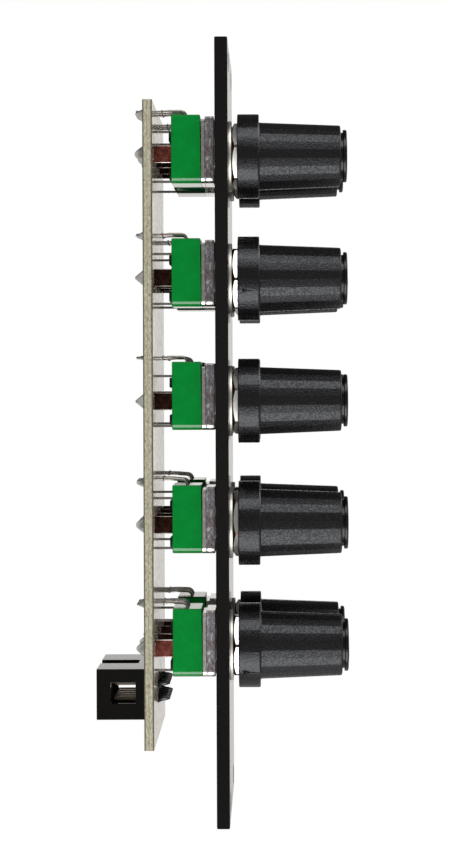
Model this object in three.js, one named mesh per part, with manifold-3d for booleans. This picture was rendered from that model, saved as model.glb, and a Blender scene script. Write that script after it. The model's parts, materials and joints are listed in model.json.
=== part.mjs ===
// Eurorack module, 8 HP wide, with ten rotary controls on one circuit board behind a metal panel.
// Millimetres, +Z up. The front faces -Y, and +X is on the right of someone who looks at the front.
// The origin is the middle of the panel's back face, which lies against the rails of a case.
import * as THREE from "three";
import { mergeVertices } from "three/addons/utils/BufferGeometryUtils.js";
import Module from "manifold-3d";

const wasm = await Module();
wasm.setup();

// Panel
const panelWidth = 40.3;
const panelHeight = 128.5;
const panelThickness = 2.14;
const panelChamfer = 0.4;
const railLandHeight = 9.5;
const railSlotWidth = 3.2;
const railSlotLength = 5.2;
const railSlotFromEnd = 3;
const railSlotFromLeft = 7.5;
const railSlotFromRight = 7.4;

// Grid of the controls
const columnCount = 2;
const rowCount = 5;
const columnPitch = 20.32;
const rowPitch = 20.32;
const controlsRise = 5.08;

// Circuit board
const boardWidth = 38;
const boardHeight = 106;
const boardThickness = 1.6;
const boardRise = 1.27;
const boardHoleClearance = 0.12;

// Potentiometer cover, with the threaded bushing that holds it to the panel
const shoulderRadius = 4.3;
const shoulderHeight = 0.25;
const coverDepth = 2.12;
const coverTopDrop = 0.3;
const bushingRadius = 3.5;
const bushingLength = 5;
const panelHoleClearance = 0.12;

// Locating tab on the cover, which stops the potentiometer from turning
const tabWidth = 1;
const tabHeight = 0.8;
const tabDrop = 3.1;
const tabSpread = 3.6;

// Potentiometer housing
const housingWidth = 9.7;
const housingDepth = 4.9;
const housingAbove = 6.5;
const housingBelow = 4.75;
const housingTopCorner = 0.4;
const housingBottomCorner = 1.1;
const housingStandoff = 2.9;
const cavityRadius = 4.1;
const cavityDepth = 3.4;

// Leads, side lugs, support pins and pads on the housing
const leadCount = 3;
const leadPitch = 2.5;
const leadThickness = 0.45;
const leadLift = 0.45;
const leadBendRadius = 1.2;
const leadRoot = 2.4;
const lugWidth = 2.9;
const lugTailWidth = 1.8;
const lugThickness = 0.45;
const lugInset = 0.2;
const pinWidth = 0.45;
const pinReach = 4.15;
const padReach = 3.05;
const padLength = 1.7;
const padHeight = 0.5;
const padWidth = 5;

// Shaft with its rotor and wiper
const shaftRadius = 3;
const shaftReach = 15;
const shaftClearance = 0.2;
const shaftFlatLength = 9;
const shaftFlatDepth = 1.5;
const rotorRadius = 3.8;
const rotorThickness = 1.2;
const rotorGap = 0.3;
const wiperWidth = 1;
const wiperReach = 3;

// Nut and washer
const nutAcrossFlats = 10;
const nutThickness = 2;
const threadClearance = 0.12;
const washerRadius = 5.85;
const washerThickness = 0.5;

// Knob
const knobLift = 1.44;
const flangeRadius = 7;
const flangeHeight = 3.58;
const bodyBaseRadius = 5.62;
const bodyTopRadius = 5.09;
const bodyHeight = 13.53;
const neckRadius = 3.9;
const neckHeight = 0.4;
const capRadius = 4.36;
const capHeight = 0.78;
const recessSideClearance = 0.35;
const recessEndClearance = 0.5;
const knobBoreClearance = 0.1;
const knobBoreEndClearance = 0.3;
const indexWidth = 1;
const indexHeight = 1.8;
const indexDepth = 0.3;

// Ten pin box header for power, on the back of the board
const headerLength = 20.3;
const headerWidth = 8.45;
const headerHeight = 8.45;
const headerWall = 1.05;
const headerFloor = 1.95;
const headerDrop = 43.78;
const keyWidth = 4.5;
const windowWidth = 3.5;
const windowHeight = 4.15;
const windowRise = 0.2;
const contactRows = 2;
const contactColumns = 5;
const contactPitch = 2.54;
const contactWidth = 0.64;
const contactReach = 5.75;
const contactTail = 2;

// Solder joints
const solderRadius = 1.1;
const solderTipRadius = 0.36;
const solderHeight = 1.55;
const solderSkin = 0.55;
const legPoke = 0.5;
const headerSolderHeight = 1.4;

// How far a cutting shape runs past the face that it cuts
const overrun = 1;

// Pointer angles of the knobs and corner angles of the nuts, in degrees clockwise from the top
const pointerDegrees = [37, -108, 68, 97, -123, -38, 22, -68, 52, -8];
const nutDegrees = [43, 27, 51, 12, 35, 8, 49, 20, 33, 2];

// Number of flat sides that stand for each round shape, and steps in a rounded corner or bend
const knobSides = 24;
const roundSides = 16;
const shaftSides = 12;
const hexagonSides = 6;
const solderSides = 5;
const cornerSteps = 2;

// Depths along Y, worked out from the sizes above
const panelFront = -panelThickness;
const coverBack = shoulderHeight + coverDepth;
const housingBack = coverBack + housingDepth;
const boardFront = housingBack + housingStandoff;
const boardBack = boardFront + boardThickness;
const headerMouth = boardBack + headerHeight;
const nutFront = panelFront - washerThickness - nutThickness;
const knobUnderside = panelFront - knobLift;
const flangeFront = knobUnderside - flangeHeight;
const bodyFront = flangeFront - bodyHeight;
const capBack = bodyFront - neckHeight;
const capFront = capBack - capHeight;
const recessRoof = Math.min(nutFront, -bushingLength) - recessEndClearance;

// Distance from a nut's middle to its corners
const nutCornerRadius = nutAcrossFlats / 2 / Math.cos(Math.PI / hexagonSides);

function degrees(angle) {
  return THREE.MathUtils.degToRad(angle);
}

// Geometry to closed solid, with the vertices that faces share merged
function solidFrom(geometry) {
  const bare = new THREE.BufferGeometry();
  bare.setAttribute("position", geometry.getAttribute("position"));
  bare.setIndex(geometry.getIndex());
  const merged = mergeVertices(bare);
  const vertProperties = new Float32Array(merged.getAttribute("position").array);
  const triVerts = new Uint32Array(merged.getIndex().array);
  return new wasm.Manifold(new wasm.Mesh({ numProp: 3, vertProperties, triVerts }));
}

function geometryFrom(solid) {
  const { numProp, vertProperties, triVerts } = solid.getMesh();
  const geometry = new THREE.BufferGeometry();
  geometry.setAttribute("position", new THREE.BufferAttribute(vertProperties, numProp));
  geometry.setIndex(new THREE.BufferAttribute(triVerts, 1));
  geometry.computeVertexNormals();
  return geometry;
}

function joined(solids) {
  return solids.reduce((whole, solid) => whole.add(solid));
}

function cut(solid, tools) {
  return solid.subtract(joined(tools));
}

// Block between two places on each axis
function block(xRange, yRange, zRange) {
  const ranges = [xRange, yRange, zRange];
  const sizes = ranges.map(([low, high]) => high - low);
  const centre = ranges.map(([low, high]) => (low + high) / 2);
  return solidFrom(new THREE.BoxGeometry(...sizes).translate(...centre));
}

// Both ends of a length that is centred on a place
function around(place, length) {
  return [place - length / 2, place + length / 2];
}

// Solid of revolution about Y, from [radius, y] points that run from the front to the back
function turned(profile, sides) {
  const points = profile.map(([radius, y]) => new THREE.Vector2(radius, y));
  return solidFrom(new THREE.LatheGeometry(points, sides));
}

function cylinder(radius, front, back, sides) {
  const profile = [
    [0, front],
    [radius, front],
    [radius, back],
    [0, back],
  ];
  return turned(profile, sides);
}

// Prism along Y of an outline in X and Z
function prismAlongY(shape, front, back) {
  const geometry = new THREE.ExtrudeGeometry(shape, {
    depth: back - front,
    bevelEnabled: false,
    curveSegments: cornerSteps,
  });
  return solidFrom(geometry.rotateX(degrees(90)).translate(0, back, 0));
}

// Prism along X of an outline in Y and Z
function prismAlongX(shape, left, right) {
  const geometry = new THREE.ExtrudeGeometry(shape, {
    depth: right - left,
    bevelEnabled: false,
    curveSegments: cornerSteps,
  });
  const yAxis = new THREE.Vector3(0, 1, 0);
  const zAxis = new THREE.Vector3(0, 0, 1);
  const xAxis = new THREE.Vector3(1, 0, 0);
  const turn = new THREE.Matrix4().makeBasis(yAxis, zAxis, xAxis);
  return solidFrom(geometry.applyMatrix4(turn).translate(left, 0, 0));
}

function polygon(points) {
  return new THREE.Shape(points.map(([across, up]) => new THREE.Vector2(across, up)));
}

// Four sided solid that narrows from one rectangle to a smaller one, both centred on the Y axis
function taperedBlock(wide, narrow, wideY, narrowY) {
  const geometry = new THREE.BoxGeometry(...wide.toSpliced(1, 0, Math.abs(narrowY - wideY)));
  const places = geometry.getAttribute("position");
  for (let i = 0; i < places.count; i++) {
    const onNarrow = places.getY(i) * (narrowY - wideY) > 0;
    const [width, height] = onNarrow ? narrow : wide;
    const x = (Math.sign(places.getX(i)) * width) / 2;
    const z = (Math.sign(places.getZ(i)) * height) / 2;
    places.setXYZ(i, x, onNarrow ? narrowY : wideY, z);
  }
  return solidFrom(geometry);
}

// Places of the controls: the left column from the top down, then the right one
function controlPlaces() {
  const places = [];
  for (let column = 0; column < columnCount; column++) {
    for (let row = 0; row < rowCount; row++) {
      const x = (column - (columnCount - 1) / 2) * columnPitch;
      const z = controlsRise + ((rowCount - 1) / 2 - row) * rowPitch;
      places.push([x, z]);
    }
  }
  return places;
}

function railSlotPlaces() {
  const left = railSlotFromLeft - panelWidth / 2;
  const right = panelWidth / 2 - railSlotFromRight;
  const rise = panelHeight / 2 - railSlotFromEnd;
  return [left, right].flatMap((x) => [
    [x, rise],
    [x, -rise],
  ]);
}

function railSlot(x, z) {
  const half = (railSlotLength - railSlotWidth) / 2;
  const shape = new THREE.Shape();
  shape.absarc(x + half, z, railSlotWidth / 2, degrees(-90), degrees(90), false);
  shape.absarc(x - half, z, railSlotWidth / 2, degrees(90), degrees(270), false);
  return prismAlongY(shape, panelFront - overrun, overrun);
}

// Panel: flat plate with a land for each rail along its top and bottom, and a chamfer round its front
function panel() {
  const chamferBack = panelFront + panelChamfer;
  const half = panelHeight / 2;
  const land = half - railLandHeight;
  const across = around(0, panelWidth);
  const lands = [
    block(across, [chamferBack, 0], [land, half]),
    block(across, [chamferBack, 0], [-land, land]),
    block(across, [chamferBack, 0], [-half, -land]),
  ];
  const front = taperedBlock(
    [panelWidth, panelHeight],
    [panelWidth - 2 * panelChamfer, panelHeight - 2 * panelChamfer],
    chamferBack,
    panelFront,
  );
  const holeRadius = bushingRadius + panelHoleClearance;
  const hole = cylinder(holeRadius, panelFront - overrun, overrun, roundSides);
  const holes = controlPlaces().map(([x, z]) => hole.translate(x, 0, z));
  const slots = railSlotPlaces().map(([x, z]) => railSlot(x, z));
  return cut(joined([...lands, front]), [...holes, ...slots]);
}

// Places across X of a potentiometer's three leads
function leadPlaces() {
  return Array.from({ length: leadCount }, (_, i) => (i - (leadCount - 1) / 2) * leadPitch);
}

function lugPlaces() {
  const place = housingWidth / 2 - lugInset - lugThickness / 2;
  return [-place, place];
}

const leadHeight = housingAbove + leadLift + leadThickness / 2;

// Solder cone round a lead, on the board's back
function leadSolder() {
  const tip = boardBack + solderHeight;
  const profile = [
    [0, boardBack],
    [solderRadius, boardBack],
    [solderTipRadius, tip],
    [0, tip],
  ];
  return turned(profile, solderSides);
}

function lugSolder() {
  const wide = [lugThickness + 2 * solderSkin, lugTailWidth + 2 * solderSkin];
  const narrow = [lugThickness, lugTailWidth];
  return taperedBlock(wide, narrow, boardBack, boardBack + solderHeight);
}

// Solder cone round a pin of the header, on the board's front
function headerSolder() {
  const tip = boardFront - headerSolderHeight;
  const profile = [
    [0, tip],
    [contactWidth, tip],
    [contactWidth + solderSkin, boardFront],
    [0, boardFront],
  ];
  return turned(profile, solderSides);
}

function contactPlaces() {
  const places = [];
  for (let row = 0; row < contactRows; row++) {
    for (let column = 0; column < contactColumns; column++) {
      const x = (column - (contactColumns - 1) / 2) * contactPitch;
      const z = (row - (contactRows - 1) / 2) * contactPitch - headerDrop;
      places.push([x, z]);
    }
  }
  return places;
}

// End of a lead or lug, inside its solder behind the board
const legEnd = boardBack + legPoke;

// Square hole through the board for a leg, which ends inside the leg's solder
function legHole(width, height) {
  const depth = [boardFront - overrun, legEnd + boardHoleClearance];
  const across = around(0, width + 2 * boardHoleClearance);
  return block(across, depth, around(0, height + 2 * boardHoleClearance));
}

// Circuit board with its solder joints
function mainBoard() {
  const depth = [boardFront, boardBack];
  const plate = block(around(0, boardWidth), depth, around(boardRise, boardHeight));
  const solder = [];
  const holes = [];
  for (const [x, z] of controlPlaces()) {
    for (const across of leadPlaces()) {
      solder.push(leadSolder().translate(x + across, 0, z + leadHeight));
      holes.push(legHole(leadThickness, leadThickness).translate(x + across, 0, z + leadHeight));
    }
    for (const across of lugPlaces()) {
      solder.push(lugSolder().translate(x + across, 0, z));
      holes.push(legHole(lugThickness, lugTailWidth).translate(x + across, 0, z));
    }
  }
  const contactHoleWidth = contactWidth + 2 * boardHoleClearance;
  const contactHole = block(
    around(0, contactHoleWidth),
    [boardFront - contactTail - overrun, boardBack + overrun],
    around(0, contactHoleWidth),
  );
  for (const [x, z] of contactPlaces()) {
    solder.push(headerSolder().translate(x, 0, z));
    holes.push(contactHole.translate(x, 0, z));
  }
  return cut(joined([plate, ...solder]), holes);
}

// Box header: shroud with a key slot in its top wall, a window in each end wall, and ten pins
function powerHeader() {
  const length = around(0, headerLength);
  const height = around(-headerDrop, headerWidth);
  const shell = block(length, [boardBack, headerMouth], height);
  const floor = boardBack + headerFloor;
  const past = headerMouth + overrun;
  const inside = block(
    around(0, headerLength - 2 * headerWall),
    [floor, past],
    around(-headerDrop, headerWidth - 2 * headerWall),
  );
  const topWall = [-headerDrop, height[1] + overrun];
  const key = block(around(0, keyWidth), [floor, past], topWall);
  const windows = block(
    [length[0] - overrun, length[1] + overrun],
    [floor, floor + windowHeight],
    around(windowRise - headerDrop, windowWidth),
  );
  const contact = block(
    around(0, contactWidth),
    [boardFront - contactTail, boardBack + contactReach],
    around(0, contactWidth),
  );
  const contacts = contactPlaces().map(([x, z]) => contact.translate(x, 0, z));
  return joined([cut(shell, [inside, key, windows]), ...contacts]);
}

// Cover: metal plate with a shoulder against the panel, a threaded bushing and a locating tab
function potCover() {
  const plate = block(
    around(0, housingWidth),
    [shoulderHeight, coverBack],
    [-housingBelow, housingAbove - coverTopDrop],
  );
  const shoulder = cylinder(shoulderRadius, 0, coverBack, roundSides);
  const bushing = cylinder(bushingRadius, -bushingLength, coverBack, roundSides);
  const tab = block(
    around(-tabSpread, tabWidth),
    [0, coverBack],
    around(-tabDrop, tabHeight),
  );
  const boreRadius = shaftRadius + shaftClearance;
  const bore = cylinder(boreRadius, -bushingLength - overrun, coverBack + overrun, shaftSides);
  return cut(joined([plate, shoulder, bushing, tab]), [bore]);
}

// Outline of the housing: small corners at the top and rounder ones at the bottom
function housingOutline() {
  const half = housingWidth / 2;
  const top = housingAbove - housingTopCorner;
  const bottom = housingBottomCorner - housingBelow;
  const topSide = half - housingTopCorner;
  const bottomSide = half - housingBottomCorner;
  const shape = new THREE.Shape();
  shape.moveTo(half, top);
  shape.lineTo(topSide, housingAbove);
  shape.lineTo(-topSide, housingAbove);
  shape.lineTo(-half, top);
  shape.absarc(-bottomSide, bottom, housingBottomCorner, degrees(180), degrees(270), false);
  shape.absarc(bottomSide, bottom, housingBottomCorner, degrees(270), degrees(360), false);
  return shape;
}

// Lead: out of the housing's top, round a bend, and straight back through the board
function lead() {
  const inner = leadBendRadius - leadThickness;
  const bendY = coverBack + leadRoot + leadBendRadius;
  const bendZ = leadHeight + leadThickness / 2 - leadBendRadius;
  const root = housingAbove - housingTopCorner;
  const shape = new THREE.Shape();
  shape.moveTo(legEnd, bendZ + inner);
  shape.lineTo(legEnd, bendZ + leadBendRadius);
  shape.absarc(bendY, bendZ, leadBendRadius, degrees(90), degrees(180), false);
  shape.lineTo(bendY - leadBendRadius, root);
  shape.lineTo(bendY - inner, root);
  shape.absarc(bendY, bendZ, inner, degrees(180), degrees(90), true);
  return prismAlongX(shape, -leadThickness / 2, leadThickness / 2);
}

// Housing: hollow plastic block with its leads, side lugs, support pins and pads
function potHousing() {
  const blockBody = prismAlongY(housingOutline(), coverBack, housingBack);
  const cavity = cylinder(cavityRadius, coverBack - overrun, coverBack + cavityDepth, roundSides);
  const leads = leadPlaces().map((x) => lead().translate(x, 0, 0));
  const legRoot = housingBack - lugInset;
  const lugs = lugPlaces().flatMap((x) => [
    block(around(x, lugThickness), [legRoot, boardFront], around(0, lugWidth)),
    block(around(x, lugThickness), [legRoot, legEnd], around(0, lugTailWidth)),
  ]);
  const pins = [-pinReach, pinReach].map((z) =>
    block(around(0, pinWidth), [legRoot, boardFront], around(z, pinWidth)),
  );
  const pads = [-padReach, padReach].map((z) =>
    block(around(0, padWidth), [legRoot, housingBack + padHeight], around(z, padLength)),
  );
  return joined([cut(blockBody, [cavity]), ...leads, ...lugs, ...pins, ...pads]);
}

// Shaft: round in the bushing, flatted in the knob, with the rotor and wiper inside the housing
function potShaft() {
  const rotorFront = coverBack + rotorGap;
  const rotorBack = rotorFront + rotorThickness;
  const profile = [
    [0, -shaftReach],
    [shaftRadius, -shaftReach],
    [shaftRadius, rotorFront],
    [rotorRadius, rotorFront],
    [rotorRadius, rotorBack],
    [0, rotorBack],
  ];
  const flatStart = shaftRadius - shaftFlatDepth;
  const flat = block(
    around(0, 2 * shaftRadius + overrun),
    [-shaftReach - overrun, shaftFlatLength - shaftReach],
    [-shaftRadius - overrun, -flatStart],
  );
  const wiper = block(
    around(0, wiperWidth),
    [rotorBack - rotorGap, coverBack + cavityDepth - rotorGap],
    around(wiperReach, wiperWidth),
  );
  return cut(turned(profile, shaftSides), [flat]).add(wiper);
}

// Hexagon nut on its washer
function nut() {
  const washerFront = panelFront - washerThickness;
  const hexagon = cylinder(nutCornerRadius, nutFront, washerFront, hexagonSides);
  const washer = cylinder(washerRadius, washerFront, panelFront, knobSides);
  const boreRadius = bushingRadius + threadClearance;
  const bore = cylinder(boreRadius, nutFront - overrun, panelFront + overrun, roundSides);
  return cut(joined([hexagon, washer]), [bore]);
}

// Arrow shaped index mark, pressed into the side of the knob's flange at its top
function indexMark() {
  const shape = polygon([
    [-indexWidth / 2, knobUnderside + overrun],
    [-indexWidth / 2, knobUnderside],
    [0, knobUnderside - indexHeight],
    [indexWidth / 2, knobUnderside],
    [indexWidth / 2, knobUnderside + overrun],
  ]);
  const geometry = new THREE.ExtrudeGeometry(shape, {
    depth: indexDepth + overrun,
    bevelEnabled: false,
  });
  return solidFrom(geometry.translate(0, 0, flangeRadius - indexDepth));
}

// Bore of the knob: the shaft's D shape with a clearance round it
function knobBore() {
  const radius = shaftRadius + knobBoreClearance;
  const end = -shaftReach - knobBoreEndClearance;
  const round = cylinder(radius, end, recessRoof + overrun, shaftSides);
  const flat = shaftRadius - shaftFlatDepth + knobBoreClearance;
  const land = block(
    around(0, 2 * radius + overrun),
    [end - overrun, Math.min(recessRoof, shaftFlatLength - shaftReach - knobBoreEndClearance)],
    [-radius - overrun, -flat],
  );
  return cut(round, [land]);
}

// Knob: recess over the nut, flange, tapered body with flat facets, and a round cap on a short neck
function knob() {
  const recessRadius = nutCornerRadius + recessSideClearance;
  const recess = cylinder(recessRadius, recessRoof, knobUnderside + overrun, shaftSides);
  const profile = [
    [0, capFront],
    [capRadius, capFront],
    [capRadius, capBack],
    [neckRadius, capBack],
    [neckRadius, bodyFront],
    [bodyTopRadius, bodyFront],
    [bodyBaseRadius, flangeFront],
    [flangeRadius, flangeFront],
    [flangeRadius, knobUnderside],
    [0, knobUnderside],
  ];
  return cut(turned(profile, knobSides), [recess, knobBore(), indexMark()]);
}

function material(color, roughness, metalness) {
  return new THREE.MeshStandardMaterial({ color, roughness, metalness });
}

const finishes = {
  panelCoat: () => material(0x1b191a, 0.5, 0.2),
  boardLaminate: () => material(0xa9a491, 0.7, 0),
  headerPlastic: () => material(0x14110f, 0.45, 0),
  coverMetal: () => material(0x8b8a8c, 0.4, 0.9),
  housingPlastic: () => material(0x05792f, 0.45, 0),
  shaftMetal: () => material(0x9a9a9c, 0.35, 0.9),
  nutPlating: () => material(0xc9c4bf, 0.15, 1),
  knobPlastic: () => material(0x1b1a1c, 0.6, 0),
};

const root = new THREE.Group();

function place(parent, name, solid, finish, turnDegrees = 0) {
  const mesh = new THREE.Mesh(geometryFrom(solid), finish());
  mesh.name = name;
  mesh.rotation.y = degrees(turnDegrees);
  parent.add(mesh);
}

place(root, "panel", panel(), finishes.panelCoat);
place(root, "main_board", mainBoard(), finishes.boardLaminate);
place(root, "power_header", powerHeader(), finishes.headerPlastic);

controlPlaces().forEach(([x, z], index) => {
  const control = new THREE.Group();
  control.position.set(x, 0, z);
  root.add(control);
  const number = index + 1;
  const pointer = pointerDegrees[index % pointerDegrees.length];
  const corner = nutDegrees[index % nutDegrees.length];
  place(control, `pot_cover_${number}`, potCover(), finishes.coverMetal);
  place(control, `pot_housing_${number}`, potHousing(), finishes.housingPlastic);
  place(control, `pot_shaft_${number}`, potShaft(), finishes.shaftMetal, pointer);
  place(control, `nut_${number}`, nut(), finishes.nutPlating, corner);
  place(control, `knob_${number}`, knob(), finishes.knobPlastic, pointer);
});

export default root;
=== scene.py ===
import json
import math

import bmesh
import bpy
from mathutils import Matrix, Vector


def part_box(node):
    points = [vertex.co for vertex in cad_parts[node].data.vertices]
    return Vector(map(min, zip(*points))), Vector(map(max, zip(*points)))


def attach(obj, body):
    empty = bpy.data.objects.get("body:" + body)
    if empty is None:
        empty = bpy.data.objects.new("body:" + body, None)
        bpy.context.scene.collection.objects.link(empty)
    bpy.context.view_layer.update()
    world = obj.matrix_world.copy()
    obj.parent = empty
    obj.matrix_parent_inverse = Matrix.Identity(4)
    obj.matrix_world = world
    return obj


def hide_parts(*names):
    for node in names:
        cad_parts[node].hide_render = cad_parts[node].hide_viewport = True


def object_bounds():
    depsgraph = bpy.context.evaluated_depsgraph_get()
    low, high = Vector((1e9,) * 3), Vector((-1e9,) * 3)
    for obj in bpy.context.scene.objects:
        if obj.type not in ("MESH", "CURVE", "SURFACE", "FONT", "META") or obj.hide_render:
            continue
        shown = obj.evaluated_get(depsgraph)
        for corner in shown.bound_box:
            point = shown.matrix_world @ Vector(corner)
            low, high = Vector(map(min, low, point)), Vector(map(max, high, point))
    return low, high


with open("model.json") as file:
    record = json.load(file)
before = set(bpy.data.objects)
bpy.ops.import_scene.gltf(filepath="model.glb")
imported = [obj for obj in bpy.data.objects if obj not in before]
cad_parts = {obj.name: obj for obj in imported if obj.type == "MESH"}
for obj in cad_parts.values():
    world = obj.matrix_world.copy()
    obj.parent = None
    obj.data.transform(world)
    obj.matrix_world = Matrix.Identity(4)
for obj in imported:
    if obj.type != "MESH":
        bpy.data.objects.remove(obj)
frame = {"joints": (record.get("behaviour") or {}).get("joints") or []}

# The eurorack module seen from its side. Metres, +Z up, the front faces -Y.
MM = 0.001
cad_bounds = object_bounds()

# Depths along Y that several pieces share
PANEL_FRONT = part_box("panel")[0].y
SHOULDER_BACK = 0.25 * MM
COVER_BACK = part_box("pot_cover_1")[1].y
HOUSING_BACK = 7.27 * MM
BOARD_FRONT = 10.17 * MM
BOARD_BACK = 11.77 * MM
NUT_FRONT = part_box("nut_1")[0].y
KNOB_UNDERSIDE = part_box("knob_1")[1].y
FLANGE_FRONT = KNOB_UNDERSIDE - 3.58 * MM
BODY_FRONT = FLANGE_FRONT - 13.53 * MM
CAP_BACK = BODY_FRONT - 0.4 * MM
CAP_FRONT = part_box("knob_1")[0].y

# How far joined pieces reach into each other, and how far a cut reaches past what it cuts
OVERLAP = 0.2 * MM
PAST = 1 * MM

# Rail slots of the panel
SLOT_WIDTH = 3.2 * MM
SLOT_LENGTH = 5.2 * MM
SLOT_FROM_END = 3 * MM
SLOT_FROM_SIDE = 7.5 * MM
SLOT_SPACING = 25.4 * MM

# Circuit board
BOARD_WIDTH = 38 * MM
BOARD_HEIGHT = 106 * MM
BOARD_RISE = 1.27 * MM

# Travel of a control, from which its pointer's angle at rest follows
CONTROL_TRAVEL = 300

# Corner angles of the nuts, in degrees clockwise from the top
NUT_DEGREES = [43, 27, 51, 12, 35, 8, 49, 20, 33, 2]

FULL_TURN = 2 * math.pi
SQUARE = ((1, 1), (1, -1), (-1, -1), (-1, 1))


# Mesh helpers

def loft(bm, rings, closed=False):
    """Faces between rings of points. A ring of one point closes an end, and closed joins last to first."""
    made = [[bm.verts.new(point) for point in points] for points in rings]
    pairs = list(zip(made, made[1:]))
    if closed:
        pairs.append((made[-1], made[0]))
    for first, second in pairs:
        count = max(len(first), len(second))
        for i in range(count):
            j = (i + 1) % count
            corners = [first[i % len(first)], first[j % len(first)]]
            corners += [second[j % len(second)], second[i % len(second)]]
            bm.faces.new(list(dict.fromkeys(corners)))
    return made


def with_ends(rings):
    """Rings with a point at the middle of the first and of the last, which close them."""
    first, last = [[sum(points, Vector()) / len(points)] for points in (rings[0], rings[-1])]
    return [first, *rings, last]


def ring(radius, y, angles, shape=None):
    """Points round the Y axis. shape turns an angle into a share of the radius."""
    if radius == 0:
        return [Vector((0, y, 0))]
    shares = [shape(angle) if shape else 1 for angle in angles]
    return [
        Vector((radius * share * math.sin(angle), y, radius * share * math.cos(angle)))
        for angle, share in zip(angles, shares)
    ]


def even_angles(count):
    return [FULL_TURN * i / count for i in range(count)]


def revolve(bm, profile, count=48, closed=False):
    """Solid of revolution round Y from (radius, y) points."""
    angles = even_angles(count)
    loft(bm, [ring(radius, y, angles) for radius, y in profile], closed)


def rounded_profile(points, radii):
    """Profile with the corner at each index in radii rounded by that radius."""
    steps = 3
    result = []
    for i, point in enumerate(points):
        if i not in radii:
            result.append(point)
            continue
        corner = Vector(point)
        neighbours = [Vector(points[i - 1]), Vector(points[(i + 1) % len(points)])]
        start, end = [corner + (neighbour - corner).normalized() * radii[i] for neighbour in neighbours]
        for t in [step / steps for step in range(steps + 1)]:
            result.append(tuple((1 - t) ** 2 * start + 2 * t * (1 - t) * corner + t ** 2 * end))
    return result


def block(bm, low, high):
    size = Vector(high) - Vector(low)
    centre = (Vector(high) + Vector(low)) / 2
    matrix = Matrix.Translation(centre) @ Matrix.Diagonal((*size, 1))
    bmesh.ops.create_cube(bm, size=1, matrix=matrix)


def bevel(bm, width, segments=2, least=30):
    """Rounds every edge that is sharper than least degrees."""
    bm.normal_update()
    limit = math.radians(least)
    edges = [edge for edge in bm.edges if edge.is_manifold and edge.calc_face_angle() > limit]
    bmesh.ops.bevel(
        bm, geom=edges, offset=width, segments=segments, profile=0.5, affect="EDGES", clamp_overlap=True
    )


def prism(bm, outline, low_y, high_y):
    """Prism along Y of an outline of (x, z) points."""
    bottom = [bm.verts.new((x, low_y, z)) for x, z in outline]
    top = [bm.verts.new((x, high_y, z)) for x, z in outline]
    bm.faces.new(bottom)
    bm.faces.new(list(reversed(top)))
    for i in range(len(outline)):
        j = (i + 1) % len(outline)
        bm.faces.new([bottom[j], bottom[i], top[i], top[j]])


def arc(centre, radius, start, end, steps):
    """Points of an arc in X and Z, in degrees."""
    points = []
    for i in range(steps + 1):
        angle = math.radians(start + (end - start) * i / steps)
        points.append((centre[0] + radius * math.cos(angle), centre[1] + radius * math.sin(angle)))
    return points


def finished(bm, name, materials, sharp=30):
    """Mesh from a bmesh, smooth but for edges sharper than sharp degrees."""
    bmesh.ops.recalc_face_normals(bm, faces=bm.faces)
    mesh = bpy.data.meshes.new(name)
    bm.to_mesh(mesh)
    bm.free()
    mesh.polygons.foreach_set("use_smooth", [True] * len(mesh.polygons))
    mesh.set_sharp_from_angle(angle=math.radians(sharp))
    for material in materials:
        mesh.materials.append(material)
    return mesh


def copied(mesh):
    bm = bmesh.new()
    bm.from_mesh(mesh)
    return bm


def box_tool(low, high):
    bm = bmesh.new()
    block(bm, low, high)
    return finished(bm, "cut_tool", [])


def evaluated_mesh(item):
    bpy.context.view_layer.update()
    return bpy.data.meshes.new_from_object(item.evaluated_get(bpy.context.evaluated_depsgraph_get()))


def in_scene(item):
    bpy.context.scene.collection.objects.link(item)
    return item


def with_cuts(mesh, tools, name):
    """Mesh with each tool cut out of it in turn."""
    body = in_scene(bpy.data.objects.new("cut_body", mesh))
    cutters = [in_scene(bpy.data.objects.new("cut_tool", tool)) for tool in tools]
    for cutter in cutters:
        modifier = body.modifiers.new("cut", "BOOLEAN")
        modifier.operation = "DIFFERENCE"
        modifier.solver = "EXACT"
        modifier.object = cutter
    result = evaluated_mesh(body)
    for item in [body, *cutters]:
        bpy.data.objects.remove(item)
    result.name = name
    return result


def piece(name, mesh, body, nodes=(), place=(0, 0, 0), turn=0):
    """Object that rides on a body, at a place and turned clockwise about Y in degrees."""
    item = in_scene(bpy.data.objects.new(name, mesh))
    item.matrix_world = Matrix.Translation(place) @ Matrix.Rotation(math.radians(turn), 4, "Y")
    weighted = item.modifiers.new("flat_faces", "WEIGHTED_NORMAL")
    weighted.keep_sharp = True
    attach(item, body)
    if nodes:
        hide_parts(*nodes)


# Materials

def new_material(name, color, roughness, metallic=0.0, specular=0.5):
    material = bpy.data.materials.new(name)
    material.use_nodes = True
    shader = material.node_tree.nodes["Principled BSDF"]
    shader.inputs["Base Color"].default_value = (*color, 1)
    shader.inputs["Roughness"].default_value = roughness
    shader.inputs["Metallic"].default_value = metallic
    shader.inputs["Specular IOR Level"].default_value = specular
    return material, material.node_tree, shader


def added(tree, kind, inputs=(), **settings):
    """New node with its settings. inputs gives some inputs a value or another node's output."""
    node = tree.nodes.new(kind)
    for name, value in settings.items():
        setattr(node, name, value)
    for name, value in dict(inputs).items():
        if isinstance(value, bpy.types.NodeSocket):
            tree.links.new(value, node.inputs[name])
        else:
            node.inputs[name].default_value = value
    return node


def object_place(tree, stretch=(1, 1, 1)):
    """Object coordinates in millimetres, stretched along each axis."""
    place = added(tree, "ShaderNodeTexCoord").outputs["Object"]
    scale = [share / MM for share in stretch]
    return added(tree, "ShaderNodeMapping", {"Scale": scale, "Vector": place}).outputs["Vector"]


def noise(tree, vector, scale, detail=3.0, roughness=0.55):
    inputs = {"Scale": scale, "Detail": detail, "Roughness": roughness, "Vector": vector}
    return added(tree, "ShaderNodeTexNoise", inputs).outputs["Fac"]


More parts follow.
